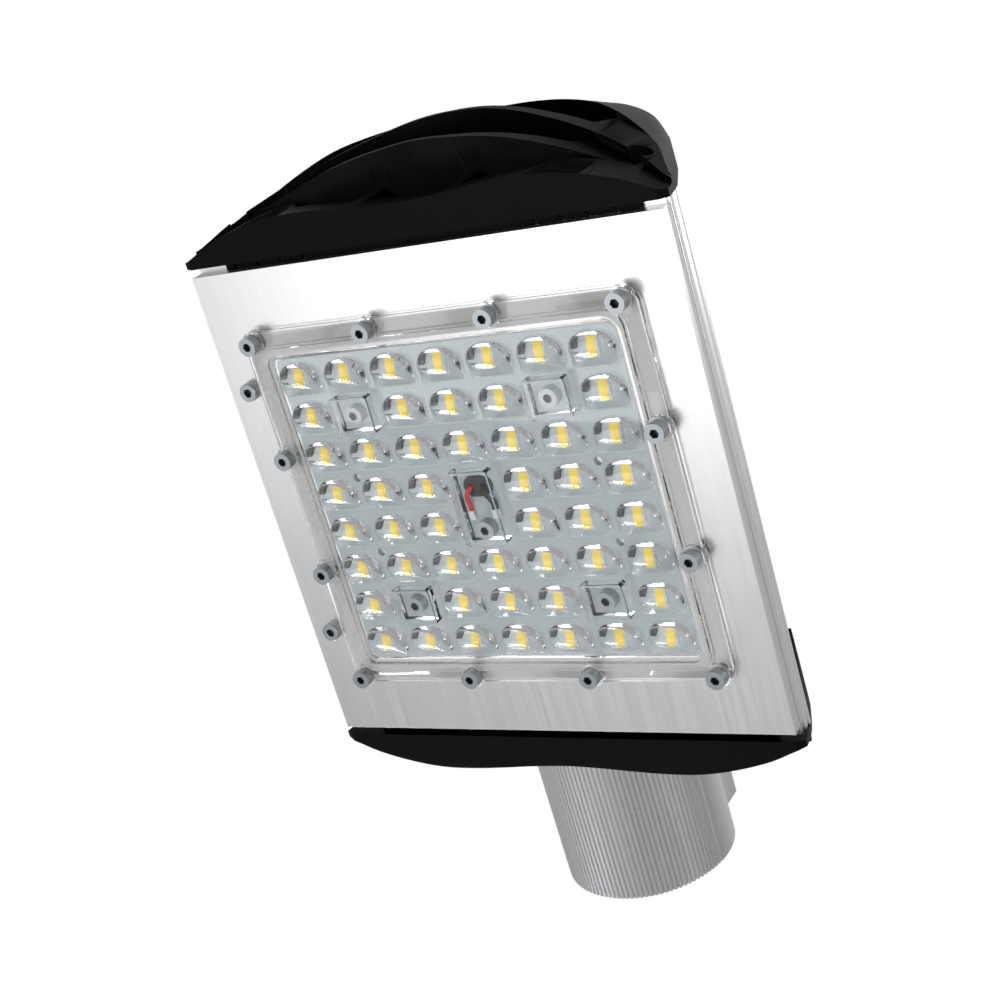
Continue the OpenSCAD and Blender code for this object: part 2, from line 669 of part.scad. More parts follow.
module terminal_block() in_frame() color("ivory") difference() {
    translate([-block_w / 2, block_y - block_l / 2, face_t]) cube([block_w, block_l, block_h]);
    for (s = [-1, 1]) translate([s * block_screw_x, block_y, face_t - 1]) {
        cylinder(h = block_h + 2, r = hole_r);
        translate([0, 0, 4]) cylinder(h = block_h, r = head_d / 2 + 0.2);
    }
    for (i = [0:block_poles - 1])
        translate([(i - (block_poles - 1) / 2) * 6, block_y - block_l / 2 - 1, face_t + 6])
            rotate([-90, 0, 0]) cylinder(h = 7, r = 2);
    for (i = [0:block_poles - 1])
        translate([(i - (block_poles - 1) / 2) * 6, block_y, face_t + block_h - 5])
            cylinder(h = 6, r = 2);
}

module terminal_screws() in_frame() color("lightgray") for (s = [-1, 1])
    translate([s * block_screw_x, block_y, face_t + 3]) mirror([0, 0, 1])
        socket_screw(3 + face_t - 0.5);

// Route of the mains lead, from the terminal block to the driver's rear end
block_nose = block_y + block_l / 2;
block_mid = face_t + block_h / 2;
driver_mid = driver_z + driver_h / 2;
mains_gap = driver_tail - block_nose;
mains_route = [
    [0, block_nose + play, block_mid],
    [0, block_nose + 3, block_mid],
    [0, block_nose + 6, block_mid],
    [0, block_nose + 0.4 * mains_gap, block_mid + 8],
    [0, block_nose + 0.6 * mains_gap, driver_mid - 8],
    [0, driver_tail - 6, driver_mid],
    [0, driver_tail - 3, driver_mid],
    [0, driver_tail - play, driver_mid]];
module mains_lead() in_frame() color("#303030") tube(smooth(mains_route), mains_d / 2, [1, 0, 0]);

// Pole socket

rib_step = rib_arc / rib_count;
function on_socket(r, a) = [r * cos(a), r * sin(a)];
socket_ribs = [for (i = [0:rib_count - 1]) let (a = rib_arc_start - i * rib_step, r = socket_od / 2)
    for (p = [[0, 0], [0.5, 0], [0.75, rib_depth], [0.8, rib_depth]])
        on_socket(r - p[1], a - p[0] * rib_step)];
socket_back = [for (a = [-170 - 0.01:-5:-350]) on_socket(socket_od / 2, a)];
module socket_section() polygon(concat(socket_ribs, socket_back));

module pole_socket() in_frame() color("#c4c6c8") difference() {
    union() {
        translate([0, mouth_y, socket_z]) rotate([90, 0, 0]) mirror([0, 0, 1])
            linear_extrude(socket_l) socket_section();
        translate([-pad_w / 2, mouth_y + pad_set_back, socket_z])
            cube([pad_w, socket_l - pad_set_back, socket_od / 2]);
    }
    translate([0, mouth_y - 1, socket_z]) rotate([-90, 0, 0])
        cylinder(h = socket_l + 2, r = socket_bore / 2, $fn = 96);
    for (p = socket_screw_spots) translate([p[0], p[1], chamber_top - socket_screw_grip - 0.5])
        cylinder(h = socket_screw_grip + 1.5, r = socket_screw_d / 2 + play);
    for (y = clamp_ys) translate([0, y, socket_z]) cylinder(h = socket_od, r = clamp_d / 2 + play);
}

module socket_screws() in_frame() color("lightgray") for (p = socket_screw_spots)
    translate([p[0], p[1], roof_z]) mirror([0, 0, 1])
        socket_screw(chamber_t + socket_screw_grip, socket_screw_d, 10, 4.5, 4);

module clamp_bolts() in_frame() color("lightgray") for (y = clamp_ys)
    translate([0, y, socket_z + socket_od / 2]) {
        cylinder(h = clamp_head_h, r = clamp_head_af / sqrt(3), $fn = 6);
        translate([0, 0, 0.3 - socket_wall]) cylinder(h = socket_wall, d = clamp_d);
    }

housing_profile();
nose_cap();
rear_cap();
nose_cap_screws();
rear_cap_screws();
led_board();
led_packages();
board_screws();
lens_gasket();
lens_plate();
lens_screws();
side_screws();
wire_grommet();
red_lead();
black_lead();
solder_joints();
driver();
driver_screws();
terminal_block();
terminal_screws();
mains_lead();
pole_socket();
socket_screws();
clamp_bolts();
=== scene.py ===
import math

import bmesh
import bpy
from mathutils import Matrix, Vector


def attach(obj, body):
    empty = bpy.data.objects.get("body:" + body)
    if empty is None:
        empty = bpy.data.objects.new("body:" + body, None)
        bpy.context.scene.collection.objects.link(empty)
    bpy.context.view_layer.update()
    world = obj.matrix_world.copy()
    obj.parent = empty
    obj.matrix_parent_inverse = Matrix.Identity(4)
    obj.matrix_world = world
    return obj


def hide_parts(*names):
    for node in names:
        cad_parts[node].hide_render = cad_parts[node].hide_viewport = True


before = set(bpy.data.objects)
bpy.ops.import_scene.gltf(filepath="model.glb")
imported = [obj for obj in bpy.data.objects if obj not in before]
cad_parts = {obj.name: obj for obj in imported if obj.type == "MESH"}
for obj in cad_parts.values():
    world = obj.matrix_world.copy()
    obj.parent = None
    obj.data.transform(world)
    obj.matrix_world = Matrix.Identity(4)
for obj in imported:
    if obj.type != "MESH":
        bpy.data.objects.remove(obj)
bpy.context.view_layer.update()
scene = bpy.context.scene
scene.view_settings.view_transform = "Standard"

# Studio. The lamp hangs in the air as it does on its pole, high above a pale floor, with
# the camera below it looking up at the lenses. Soft panels stand round it, and the rest of
# the room is pale.
camera_data = bpy.data.cameras.new("camera")
camera_data.lens = 67.26
camera_data.clip_start = 0.01
camera = bpy.data.objects.new("camera", camera_data)
scene.collection.objects.link(camera)
CAMERA_RIGHT = Vector((-0.84543, -0.27010, 0.46075))
CAMERA_UP = Vector((-0.04975, 0.89877, 0.43559))
CAMERA_BACK = Vector((-0.53176, 0.34534, -0.77329))
camera.matrix_world = Matrix.Translation((-0.3536, 0.4002, -0.5463)) @ Matrix(
    (CAMERA_RIGHT, CAMERA_UP, CAMERA_BACK)
).transposed().to_4x4()
scene.camera = camera

FLOOR_DROP, FLOOR_HALF = 1.6, 6
floor_mesh = bpy.data.meshes.new("floor")
FLOOR_CORNERS = ((-1, -1), (1, -1), (1, 1), (-1, 1))
floor_mesh.from_pydata(
    [(x * FLOOR_HALF, y * FLOOR_HALF, -FLOOR_DROP) for x, y in FLOOR_CORNERS], [], [(0, 1, 2, 3)]
)
floor = bpy.data.objects.new("floor", floor_mesh)
scene.collection.objects.link(floor)


def new_material(name, color=(0.8, 0.8, 0.8), roughness=0.5, metallic=0.0):
    """A node material with one Principled shader."""
    material = bpy.data.materials.new(name)
    material.use_nodes = True
    shader = material.node_tree.nodes["Principled BSDF"]
    shader.inputs["Base Color"].default_value = (*color, 1)
    shader.inputs["Roughness"].default_value = roughness
    shader.inputs["Metallic"].default_value = metallic
    material.diffuse_color = (*color, 1)
    return material


floor_mesh.materials.append(new_material("floor_paper", (0.80, 0.80, 0.80), 0.9))


LAMP_MIDDLE = Vector((0.0, 0.17, 0.0))


def panel(name, place, size, power):
    """A soft rectangular studio light that faces the lamp."""
    data = bpy.data.lights.new(name, "AREA")
    data.shape = "RECTANGLE"
    data.size, data.size_y = size
    data.energy = power
    light = bpy.data.objects.new(name, data)
    light.location = place
    light.rotation_euler = (LAMP_MIDDLE - Vector(place)).to_track_quat("-Z", "Y").to_euler()
    scene.collection.objects.link(light)


panel("panel_sky", (-0.7, 0.45, 1.2), (1.1, 1.1), 9)
panel("panel_below", (0.40, 0.27, -1.2), (1.1, 0.9), 5)
panel("panel_left", (-1.4, 0.5, -0.1), (0.5, 1.4), 4)
panel("panel_right", (-1.25, 0.25, -0.55), (0.3, 0.4), 5)
panel("panel_rear", (0.75, -1.0, -0.25), (0.4, 0.3), 5)

# The room is white where the camera sees it, also through glass, and has darker walls for
# what reflects in the lamp.
ROOM_TONES = ((0.42, 0.50), (0.56, 0.30), (0.78, 0.22), (0.90, 0.45))
ROOM_TINT = 1.02
world = bpy.data.worlds.new("room")
scene.world = world
world.use_nodes = True
nodes, links = world.node_tree.nodes, world.node_tree.links
path = nodes.new("ShaderNodeLightPath")
seen = nodes.new("ShaderNodeMath")
seen.operation = "MAXIMUM"
links.new(path.outputs["Is Camera Ray"], seen.inputs[0])
links.new(path.outputs["Is Transmission Ray"], seen.inputs[1])
place = nodes.new("ShaderNodeTexCoord")
parts = nodes.new("ShaderNodeSeparateXYZ")
links.new(place.outputs["Generated"], parts.inputs[0])
height = nodes.new("ShaderNodeMapRange")
height.inputs["From Min"].default_value = -1.0
height.inputs["From Max"].default_value = 1.0
links.new(parts.outputs["Z"], height.inputs["Value"])
ramp = nodes.new("ShaderNodeValToRGB")
links.new(height.outputs["Result"], ramp.inputs["Fac"])
ramp.color_ramp.elements[0].color = (0.50, 0.50, 0.51, 1)
ramp.color_ramp.elements[1].color = (0.62, 0.63, 0.64, 1)
for spot, tone in ROOM_TONES:
    stop = ramp.color_ramp.elements.new(spot)
    stop.color = (tone, tone, tone * ROOM_TINT, 1)
mix = nodes.new("ShaderNodeMix")
mix.data_type = "RGBA"
links.new(seen.outputs[0], mix.inputs["Factor"])
links.new(ramp.outputs["Color"], mix.inputs["A"])
mix.inputs["B"].default_value = (1, 1, 1, 1)
links.new(mix.outputs["Result"], nodes["Background"].inputs["Color"])
nodes["Background"].inputs["Strength"].default_value = 1.0

# Housing. One length of extruded aluminium with the face plate, two side rails, the driver
# chamber and the cooling fins. It is satin anodised, with fine lines along its length from
# the die.
WELD, FLAT = 2e-6, math.radians(0.4)
HOUSING_EDGE = 0.00025


def copy_of(node, name, edge=0.0, angle=28, even=True):
    """A piece with the shape of a CAD node and softly broken edges, in place of that node."""
    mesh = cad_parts[node].data.copy()
    mesh.materials.clear()
    piece = bpy.data.objects.new(name, mesh)
    scene.collection.objects.link(piece)
    work = bmesh.new()
    work.from_mesh(mesh)
    bmesh.ops.remove_doubles(work, verts=work.verts, dist=WELD)
    bmesh.ops.dissolve_limit(work, angle_limit=FLAT, verts=work.verts, edges=work.edges)
    work.to_mesh(mesh)
    work.free()
    for face in mesh.polygons:
        face.use_smooth = True
    if edge:
        bevel = piece.modifiers.new("broken_edges", "BEVEL")
        bevel.width = edge
        bevel.segments = 2
        bevel.limit_method = "ANGLE"
        bevel.angle_limit = math.radians(angle)
    else:
        mesh.set_sharp_from_angle(angle=math.radians(angle))
    if even:
        normals = piece.modifiers.new("even_normals", "WEIGHTED_NORMAL")
        normals.weight = 100
        normals.keep_sharp = True
    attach(piece, "root")
    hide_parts(node)
    return piece


def grain_group():
    """Fine lines along one direction, as a value round 0.5."""
    group = bpy.data.node_groups.new("grain", "ShaderNodeTree")
    face = group.interface
    face.new_socket("Along", in_out="INPUT", socket_type="NodeSocketVector")
    face.new_socket("Scale", in_out="INPUT", socket_type="NodeSocketFloat")
    face.new_socket("Value", in_out="OUTPUT", socket_type="NodeSocketFloat")
    n, l = group.nodes, group.links
    start, end = n.new("NodeGroupInput"), n.new("NodeGroupOutput")
    place = n.new("ShaderNodeTexCoord")
    stretch = n.new("ShaderNodeVectorMath")
    stretch.operation = "MULTIPLY"
    l.new(place.outputs["Object"], stretch.inputs[0])
    l.new(start.outputs["Along"], stretch.inputs[1])
    noise = n.new("ShaderNodeTexNoise")
    noise.inputs["Detail"].default_value = 3
    noise.inputs["Roughness"].default_value = 0.6
    l.new(stretch.outputs[0], noise.inputs["Vector"])
    l.new(start.outputs["Scale"], noise.inputs["Scale"])
    l.new(noise.outputs["Fac"], end.inputs["Value"])
    return group


GRAIN = grain_group()


def add_grain(material, along, scale, colors, roughs, bump, depth):
    """Grain in the colour, the roughness and the height of a material, between two values each."""
    n, l = material.node_tree.nodes, material.node_tree.links
    shader = n["Principled BSDF"]
    grain = n.new("ShaderNodeGroup")
    grain.node_tree = GRAIN
    grain.inputs["Along"].default_value = along
    grain.inputs["Scale"].default_value = scale
    tint = n.new("ShaderNodeMix")
    tint.data_type = "RGBA"
    tint.inputs["A"].default_value = (*colors[0], 1)
    tint.inputs["B"].default_value = (*colors[1], 1)
    l.new(grain.outputs["Value"], tint.inputs["Factor"])
    l.new(tint.outputs["Result"], shader.inputs["Base Color"])
    rough = n.new("ShaderNodeMapRange")
    rough.inputs["To Min"].default_value = roughs[0]
    rough.inputs["To Max"].default_value = roughs[1]
    l.new(grain.outputs["Value"], rough.inputs["Value"])
    l.new(rough.outputs["Result"], shader.inputs["Roughness"])
    height = n.new("ShaderNodeBump")
    height.inputs["Strength"].default_value = bump
    height.inputs["Distance"].default_value = depth
    l.new(grain.outputs["Value"], height.inputs["Height"])
    l.new(height.outputs["Normal"], shader.inputs["Normal"])


housing_metal = new_material("anodised_aluminium", metallic=1.0)
add_grain(housing_metal, (1, 0.02, 1), 900, ((0.80, 0.80, 0.80), (0.90, 0.90, 0.90)),
          (0.26, 0.38), 0.12, 0.00004)
housing = copy_of("housing_profile", "housing", HOUSING_EDGE)
housing.data.materials.append(housing_metal)

# End caps. Moulded in black glass-filled plastic with a fine even texture. Each one covers
# an end of the extrusion and is held by four screws. The air slots between the blades carry
# painted shade: their base colour turns near black where the slots close in.
SLOT_REACH = 0.03
EVEN = (1, 1, 1)
cap_plastic = new_material("black_moulding", (0.002, 0.002, 0.002), 0.42)
shader = cap_plastic.node_tree.nodes["Principled BSDF"]
shader.inputs["Specular IOR Level"].default_value = 0.05
add_grain(cap_plastic, EVEN, 2600, ((0.0022, 0.0022, 0.0022), (0.0040, 0.0040, 0.0040)),
          (0.34, 0.46), 0.1, 0.00003)


def slot_shade_group():
    """How open a place is to the light, from 0 far inside a slot to 1 on a free face."""
    group = bpy.data.node_groups.new("slot_shade", "ShaderNodeTree")
    face = group.interface
    face.new_socket("Distance", in_out="INPUT", socket_type="NodeSocketFloat")
    face.new_socket("Open", in_out="OUTPUT", socket_type="NodeSocketFloat")
    n, l = group.nodes, group.links
    start, end = n.new("NodeGroupInput"), n.new("NodeGroupOutput")
    near = n.new("ShaderNodeAmbientOcclusion")
    near.samples = 8
    l.new(start.outputs["Distance"], near.inputs["Distance"])
    open_range = n.new("ShaderNodeMapRange")
    open_range.inputs["From Min"].default_value = 0.35
    open_range.inputs["From Max"].default_value = 0.95
    l.new(near.outputs["AO"], open_range.inputs["Value"])
    l.new(open_range.outputs["Result"], end.inputs["Open"])
    return group


# Painted shade: the base colour goes from the grained moulding to near black where the occlusion
# mask finds a slot.
n, l = cap_plastic.node_tree.nodes, cap_plastic.node_tree.links
shade = n.new("ShaderNodeGroup")
shade.node_tree = slot_shade_group()
shade.inputs["Distance"].default_value = SLOT_REACH
painted_slot_shade = n.new("ShaderNodeMix")
painted_slot_shade.data_type = "RGBA"
painted_slot_shade.inputs["A"].default_value = (0.0002, 0.0002, 0.0002, 1)
l.new(shade.outputs["Open"], painted_slot_shade.inputs["Factor"])
l.new(shader.inputs["Base Color"].links[0].from_socket, painted_slot_shade.inputs["B"])
l.new(painted_slot_shade.outputs["Result"], shader.inputs["Base Color"])

for node in ("nose_cap", "rear_cap"):
    cap = copy_of(node, node + "_moulding", angle=24)
    cap.data.materials.append(cap_plastic)

# Gap shade. A thin black sheet lies in the gap between the face plate and each cap, in
# front of the fins, with a slanted slit at each fin: painted shade, for the shadow in the gap.
MODULE_Y = 0.1745
FACE_Z = -0.0407
JOINT, SHADE_SHEET_GAP = 0.0975, 0.0001
FIN_PLACES = (0.04725, 0.05725, 0.06725, 0.07725)
BLOCK_FACES = ((0, 1, 3, 2), (4, 6, 7, 5), (0, 4, 5, 1), (2, 3, 7, 6), (0, 2, 6, 4), (1, 5, 7, 3))
SHADE_SHEET_RIGHT, SHADE_SHEET_LEFT = -0.0865, 0.0815
SHADE_SHEET_BACK, SHADE_SHEET_LOW, SHADE_SHEET_HIGH = 0.0029, 0.0036, 0.0046
SLIT_HALF, SLIT_LEAN = 0.0004, 0.0006
for side in (1, -1):
    stops = [SHADE_SHEET_RIGHT]
    for x in sorted([-p for p in FIN_PLACES] + list(FIN_PLACES)):
        stops += [x - SLIT_HALF, x + SLIT_HALF]
    stops.append(SHADE_SHEET_LEFT)
    shade_sheet_mesh = bpy.data.meshes.new("gap_shade_sheet")
    verts, faces = [], []
    for k in range(0, len(stops), 2):
        first = len(verts)
        for x, lean in ((stops[k], 0 if k == 0 else SLIT_LEAN),
                        (stops[k + 1], 0 if k + 2 == len(stops) else SLIT_LEAN)):
            for y, shift in ((-SHADE_SHEET_BACK, -lean), (-SHADE_SHEET_GAP, lean)):
                for z in (SHADE_SHEET_LOW, SHADE_SHEET_HIGH):
                    verts.append((x + shift, MODULE_Y + side * (JOINT + y), FACE_Z + z))
        faces += [tuple(first + i for i in face) for face in BLOCK_FACES]
    shade_sheet_mesh.from_pydata(verts, [], faces)
    shade_sheet_mesh.materials.append(cap_plastic)
    shade_sheet = bpy.data.objects.new("nose_gap_shade_sheet" if side > 0 else "rear_gap_shade_sheet", shade_sheet_mesh)
    scene.collection.objects.link(shade_sheet)
    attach(shade_sheet, "root")

# Screws. Zinc-plated steel socket head screws hold the caps, the board, the lens plate, the
# driver, the terminals and the pole socket, and two bolts clamp the pole. Their hexagon
# sockets carry painted shade: a near black second material inside.
SCREW_EDGE = 0.0003
SMALL_HEXAGON, LARGE_HEXAGON = 0.00176, 0.00235
screw_zinc = new_material("zinc_plate", metallic=1.0)
add_grain(screw_zinc, EVEN, 1500, ((0.36, 0.39, 0.41), (0.46, 0.50, 0.52)),
          (0.30, 0.44), 0.1, 0.00003)
# Painted shade for the inside of the hexagon sockets.
screw_socket_shade = new_material("zinc_socket_shade", metallic=0.6)
add_grain(screw_socket_shade, EVEN, 1500, ((0.03, 0.033, 0.035), (0.09, 0.10, 0.10)),
          (0.4, 0.6), 0.1, 0.00003)


def paint_socket_shade(mesh, axis, reach):
    """Give the faces inside the hexagon sockets the second material of a piece of screws, their
    painted shade.
    """
    work = bmesh.new()
    work.from_mesh(mesh)
    left = set(work.verts)
    across = [i for i in range(3) if i != axis]
    while left:
        todo = [left.pop()]
        island = set(todo)
        while todo:
            for edge in todo.pop().link_edges:
                for vert in edge.verts:
                    if vert in left:
                        left.discard(vert)
                        island.add(vert)
                        todo.append(vert)
        middle = [(min(v.co[i] for v in island) + max(v.co[i] for v in island)) / 2
                  for i in across]
        for face in {f for v in island for f in v.link_faces}:
            far = max(math.dist([v.co[i] for i in across], middle) for v in face.verts)
            if far < reach:
                face.material_index = 1
    work.to_mesh(mesh)
    work.free()


for node, axis, reach in (
        ("nose_cap_screws", 1, SMALL_HEXAGON), ("rear_cap_screws", 1, SMALL_HEXAGON),
        ("board_screws", 2, SMALL_HEXAGON), ("lens_screws", 2, SMALL_HEXAGON),
        ("side_screws", 2, SMALL_HEXAGON), ("driver_screws", 2, SMALL_HEXAGON),
        ("terminal_screws", 2, SMALL_HEXAGON), ("socket_screws", 2, LARGE_HEXAGON),
        ("clamp_bolts", 2, 0.0)):
    screws = copy_of(node, node + "_plated", SCREW_EDGE)
    screws.data.materials.append(screw_zinc)
    screws.data.materials.append(screw_socket_shade)
    paint_socket_shade(screws.data, axis, reach)

# Circuit board. Grey lacquer over copper tracks on an aluminium core. It carries fifty pale
# packages in seven columns, each with a yellow phosphor window. Beside each stands a small
# black block that paints the dark patch which the lens refracts at that end.
def dress(node, material):
    """Give a CAD node its material."""
    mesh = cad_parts[node].data
    mesh.materials.clear()
    mesh.materials.append(material)


board_lacquer = new_material("board_lacquer", (0.50, 0.58, 0.61), 0.45)
add_grain(board_lacquer, EVEN, 700, ((0.34, 0.39, 0.41), (0.38, 0.43, 0.45)),
          (0.4, 0.55), 0.08, 0.00002)
dress("led_board", board_lacquer)
phosphor = new_material("led_phosphor", (0.92, 0.74, 0.03), 0.4)
add_grain(phosphor, EVEN, 4000, ((0.68, 0.48, 0.0005), (0.78, 0.58, 0.001)),
          (0.5, 0.65), 0.08, 0.00002)
package_body = new_material("package_body", (0.45, 0.47, 0.48), 0.4)
add_grain(package_body, EVEN, 3000, ((0.40, 0.42, 0.43), (0.50, 0.52, 0.53)),
          (0.35, 0.5), 0.08, 0.00002)
dress("led_packages", package_body)
# Painted dark refraction: near black blocks beside the packages, for the dark patch each lens
# shows at that end.
dark_refraction_block = new_material("dark_refraction_block", (0.03, 0.032, 0.034), 0.4)
add_grain(dark_refraction_block, EVEN, 3000, ((0.022, 0.024, 0.026), (0.040, 0.043, 0.046)),
          (0.35, 0.5), 0.08, 0.00002)

LENS_COLUMNS, LENS_ROWS = 7, 8
LENS_PITCH_X, LENS_PITCH_Y = 0.020, 0.0153
BOARD_FRONT, PACKAGE_FRONT = 0.0016, 0.0023
WINDOW_LIFT, DARK_BLOCK_LIFT = 0.0001, 0.0008


def lens_spot(column, row):
    """Middle of a place in the lens grid, and whether a lens stands there."""
    taken = (row in (1, 6) and column in (1, 5)) or (column == 3 and row in (3, 4))
    x = (column - (LENS_COLUMNS - 1) / 2) * LENS_PITCH_X
    y = ((LENS_ROWS - 1) / 2 - row) * LENS_PITCH_Y
    return x, MODULE_Y + y, not taken


def chips(name, low, high, material):
    """A small block at each package, between two corners given from the package's middle."""
    work = bmesh.new()
    for row in range(LENS_ROWS):
        for column in range(LENS_COLUMNS):
            x, y, stands = lens_spot(column, row)
            if not stands:
                continue
            middle = Vector((x, y, FACE_Z)) + (Vector(low) + Vector(high)) / 2
            size = Vector(high) - Vector(low)
            cube = bmesh.ops.create_cube(work, size=1.0)
            for vert in cube["verts"]:
                vert.co = middle + Vector([a * b for a, b in zip(size, vert.co)])
    mesh = bpy.data.meshes.new(name)
    work.to_mesh(mesh)
    work.free()
    mesh.materials.append(material)
    piece = bpy.data.objects.new(name, mesh)
    scene.collection.objects.link(piece)
    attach(piece, "root")


chips("phosphor_windows", (-0.0013, -0.0022, -PACKAGE_FRONT - WINDOW_LIFT),
      (0.0013, 0.0024, -PACKAGE_FRONT + WINDOW_LIFT), phosphor)
# The black blocks of painted dark refraction, one beside each package.
chips("dark_refraction_blocks", (0.0046, -0.0002, -BOARD_FRONT - DARK_BLOCK_LIFT),
      (0.0065, 0.0023, -BOARD_FRONT), dark_refraction_block)

# Lens plate. Clear moulded plastic over the board, on a pale silicone gasket, screwed down
# through its flange. Its flat sheet is cut away where the fifty lenses stand, and they
# follow with a finer surface. Its shadow is left out, so that light reaches the board.
clear = new_material("clear_moulding", (1, 1, 1), 0.02)
shader = clear.node_tree.nodes["Principled BSDF"]
shader.inputs["Transmission Weight"].default_value = 1.0
shader.inputs["IOR"].default_value = 1.49
n, l = clear.node_tree.nodes, clear.node_tree.links
ray = n.new("ShaderNodeLightPath")
block = n.new("ShaderNodeMath")
block.operation = "SUBTRACT"
block.inputs[0].default_value = 1.0
l.new(ray.outputs["Is Shadow Ray"], block.inputs[1])
l.new(block.outputs[0], shader.inputs["Alpha"])
lens = copy_of("lens_plate", "lens_plate_moulding", even=False)
lens.data.materials.append(clear)
gasket = new_material("silicone", (0.86, 0.86, 0.85), 0.6)
add_grain(gasket, EVEN, 900, ((0.84, 0.84, 0.83), (0.90, 0.90, 0.89)), (0.5, 0.7), 0.1, 0.00003)
dress("lens_gasket", gasket)

SHEET_TOP, SHEET_LOW = 0.0017, 0.0033
ROOM_TOP, ROOM_LOW = 0.0010, 0.0095
ROOM_SPARE = 0.00001
SEAM_REACH = 0.0001
ON_EDGE = 2e-5
LENS_PLATE_SHARP = 28


def lens_cells(row):
    """Runs of neighbouring lenses in a row, as first and last column."""
    runs, start = [], None
    for column in range(LENS_COLUMNS + 1):
        stands = column < LENS_COLUMNS and lens_spot(column, row)[2]
        if stands and start is None:
            start = column
        if not stands and start is not None:
            runs.append((start, column - 1))
            start = None
    return runs


room_mesh = bpy.data.meshes.new("lens_field_room")
work = bmesh.new()
edges_x, edges_y = set(), set()
low, high = FACE_Z - ROOM_LOW, FACE_Z - ROOM_TOP
for row in range(LENS_ROWS):
    for first, last in lens_cells(row):
        left = lens_spot(first, row)[0] - LENS_PITCH_X / 2
        right = lens_spot(last, row)[0] + LENS_PITCH_X / 2
        y = lens_spot(first, row)[1]
        edges_x |= {left, right}
        edges_y |= {y - LENS_PITCH_Y / 2, y + LENS_PITCH_Y / 2}
        cube = bmesh.ops.create_cube(work, size=1.0)
        for vert in cube["verts"]:
            vert.co = Vector(((left + right) / 2 + (right - left) * vert.co.x,
                              y + (LENS_PITCH_Y - ROOM_SPARE) * vert.co.y,
                              (low + high) / 2 + (high - low) * vert.co.z))
work.to_mesh(room_mesh)
work.free()
room = bpy.data.objects.new("lens_field_room", room_mesh)
scene.collection.objects.link(room)
cut = lens.modifiers.new("room", "BOOLEAN")
cut.operation = "DIFFERENCE"
cut.solver = "EXACT"
cut.object = room
bpy.context.view_layer.update()
made = lens.evaluated_get(bpy.context.evaluated_depsgraph_get())
lens.data = bpy.data.meshes.new_from_object(made)
lens.modifiers.clear()
bpy.data.objects.remove(room)


def lies_on(values, edges):
    """Whether all the values are one, on one of the edges."""
    return max(values) - min(values) < ON_EDGE and min(abs(values[0] - e) for e in edges) < ON_EDGE


# The cut walls go, so that the sheet runs on into the lens field without a seam
work = bmesh.new()
work.from_mesh(lens.data)
seams = []
for face in work.faces:
    upright = abs(face.normal.z) < 0.1
    depth = FACE_Z - face.calc_center_median().z
    if upright and SHEET_TOP - SEAM_REACH < depth < SHEET_LOW + SEAM_REACH and (
            lies_on([v.co.x for v in face.verts], edges_x)
            or lies_on([v.co.y for v in face.verts], edges_y)):
        seams.append(face)
bmesh.ops.delete(work, geom=seams, context="FACES")
work.to_mesh(lens.data)
work.free()
for face in lens.data.polygons:
    face.use_smooth = True
lens.data.set_sharp_from_angle(angle=math.radians(LENS_PLATE_SHARP))

# Lenses. Each one is a clear body moulded with the plate over its package: a rounded front,
# a crease over the middle of the package and a sloped, finely toothed back that turns the
# light to the road. Each has a pocket underneath for the package and the black block of painted
# dark refraction.
LENS_HALF_X, LENS_FRONT, LENS_BACK = 0.0087, 0.0056, 0.0064
LENS_HEIGHT, LENS_CREST = 0.0047, 0.0012
PLAN_POWER, DOME_POWER, BACK_POWER = 2.3, 0.55, 1.25
CREASE_Y = 0.0003
TOOTH_PITCH, TOOTH_DEPTH = 0.0007, 0.00012
POCKET_SHORT, POCKET_LONG, POCKET_Y, POCKET_DEPTH = 0.0022, 0.0068, 0.0029, 0.0009
CELL_STEPS_X, CELL_STEPS_Y = 76, 58
LENS_SHARP = 24


def lens_height(x, y):
    """Height of the outer surface of a lens above the sheet."""
    ahead = (max(y, CREASE_Y) + LENS_CREST) / (LENS_FRONT + LENS_CREST)
    rest = 1 - abs(x / LENS_HALF_X) ** PLAN_POWER - ahead ** PLAN_POWER
    height = LENS_HEIGHT * max(0.0, rest) ** DOME_POWER
    if y < CREASE_Y:
        down = (CREASE_Y - y) / (LENS_BACK + CREASE_Y)
        tooth = abs((x / TOOTH_PITCH) % 1.0 - 0.5) * 2 * TOOTH_DEPTH * min(1.0, 6 * down)
        height = (height - tooth) * max(0.0, 1 - down ** BACK_POWER)
    return max(height, 0.0)


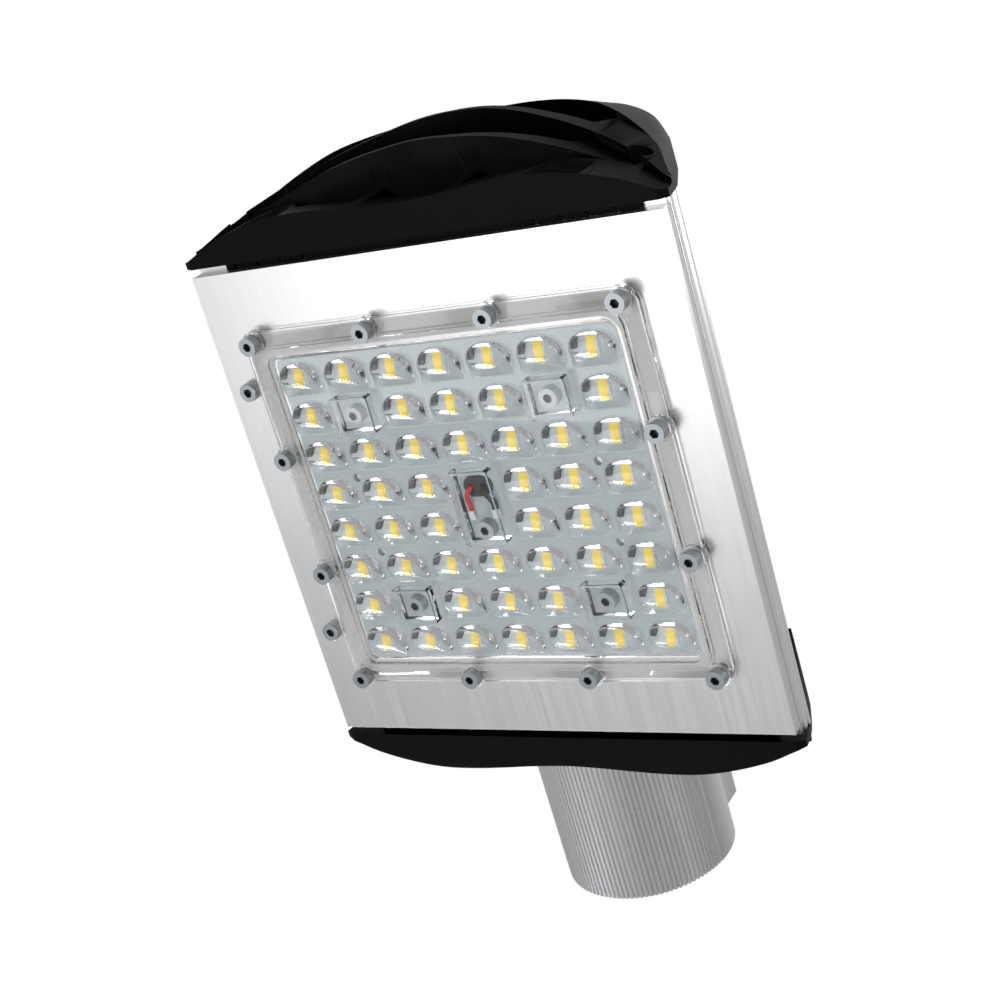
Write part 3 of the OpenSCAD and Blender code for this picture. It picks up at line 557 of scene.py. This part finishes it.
for row in range(LENS_ROWS):
    verts, faces = [], []
    for first, last in lens_cells(row):
        count_x = CELL_STEPS_X * (last - first + 1)
        left = lens_spot(first, row)[0] - LENS_PITCH_X / 2
        middle_y = lens_spot(first, row)[1]
        start = len(verts)
        for j in range(CELL_STEPS_Y + 1):
            y = LENS_PITCH_Y * (j / CELL_STEPS_Y - 0.5)
            for i in range(count_x + 1):
                x = LENS_PITCH_X * (i % CELL_STEPS_X) / CELL_STEPS_X - LENS_PITCH_X / 2
                inside = abs(x) < LENS_HALF_X and -LENS_BACK < y < LENS_FRONT
                height = lens_height(x, y) if inside else 0.0
                verts.append((left + LENS_PITCH_X * i / CELL_STEPS_X, middle_y + y,
                              FACE_Z - SHEET_LOW - height))
        for j in range(CELL_STEPS_Y):
            for i in range(count_x):
                a = start + j * (count_x + 1) + i
                faces.append((a, a + count_x + 1, a + count_x + 2, a + 1))
        for column in range(first, last + 1):
            x, y, _ = lens_spot(column, row)
            base = len(verts)
            for low_x, high_x, dy, z in (
                    (-LENS_PITCH_X / 2, LENS_PITCH_X / 2, LENS_PITCH_Y / 2, SHEET_TOP),
                    (-POCKET_SHORT, POCKET_LONG, POCKET_Y, SHEET_TOP),
                    (-POCKET_SHORT, POCKET_LONG, POCKET_Y, SHEET_TOP + POCKET_DEPTH)):
                for dx, sy in ((low_x, -1), (high_x, -1), (high_x, 1), (low_x, 1)):
                    verts.append((x + dx, y + sy * dy, FACE_Z - z))
            for ring in (0, 4):
                for k in range(4):
                    a, b = base + ring + k, base + ring + (k + 1) % 4
                    faces.append((a, b, b + 4, a + 4))
            faces.append(tuple(base + 8 + k for k in range(4)))
    row_mesh = bpy.data.meshes.new("lens_row_%d" % (row + 1))
    row_mesh.from_pydata(verts, [], faces)
    for face in row_mesh.polygons:
        face.use_smooth = True
    row_mesh.set_sharp_from_angle(angle=math.radians(LENS_SHARP))
    row_mesh.materials.append(clear)
    lenses = bpy.data.objects.new("lens_row_%d" % (row + 1), row_mesh)
    scene.collection.objects.link(lenses)
    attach(lenses, "root")

# Wiring. The red and the black lead come through a rubber grommet to two solder joints.
# Behind the face lie the driver, the terminal block and the mains lead.
for node, low, high, rough in (
        ("red_lead", (0.42, 0.006, 0.006), (0.55, 0.012, 0.012), 0.35),
        ("black_lead", (0.006, 0.006, 0.006), (0.014, 0.014, 0.014), 0.35),
        ("wire_grommet", (0.008, 0.008, 0.008), (0.016, 0.016, 0.016), 0.5),
        ("mains_lead", (0.010, 0.010, 0.010), (0.018, 0.018, 0.018), 0.5),
        ("solder_joints", (0.70, 0.71, 0.73), (0.85, 0.86, 0.88), 0.25),
        ("driver", (0.60, 0.61, 0.62), (0.72, 0.73, 0.74), 0.4),
        ("terminal_block", (0.66, 0.65, 0.58), (0.74, 0.73, 0.66), 0.5)):
    metal = 1.0 if node in ("solder_joints", "driver") else 0.0
    material = new_material(node + "_finish", high, rough, metal)
    add_grain(material, EVEN, 1200, (low, high), (rough - 0.06, rough + 0.08), 0.1, 0.00002)
    dress(node, material)

# Pole socket. Extruded aluminium tube with fine ribs round it and a flat pad on its back,
# screwed to the housing under the rear cap.
socket_metal = new_material("socket_aluminium", metallic=1.0)
add_grain(socket_metal, (1, 0.03, 1), 700, ((0.66, 0.66, 0.67), (0.76, 0.76, 0.77)),
          (0.34, 0.48), 0.15, 0.00004)
socket = copy_of("pole_socket", "socket_tube")
socket.data.materials.append(socket_metal)
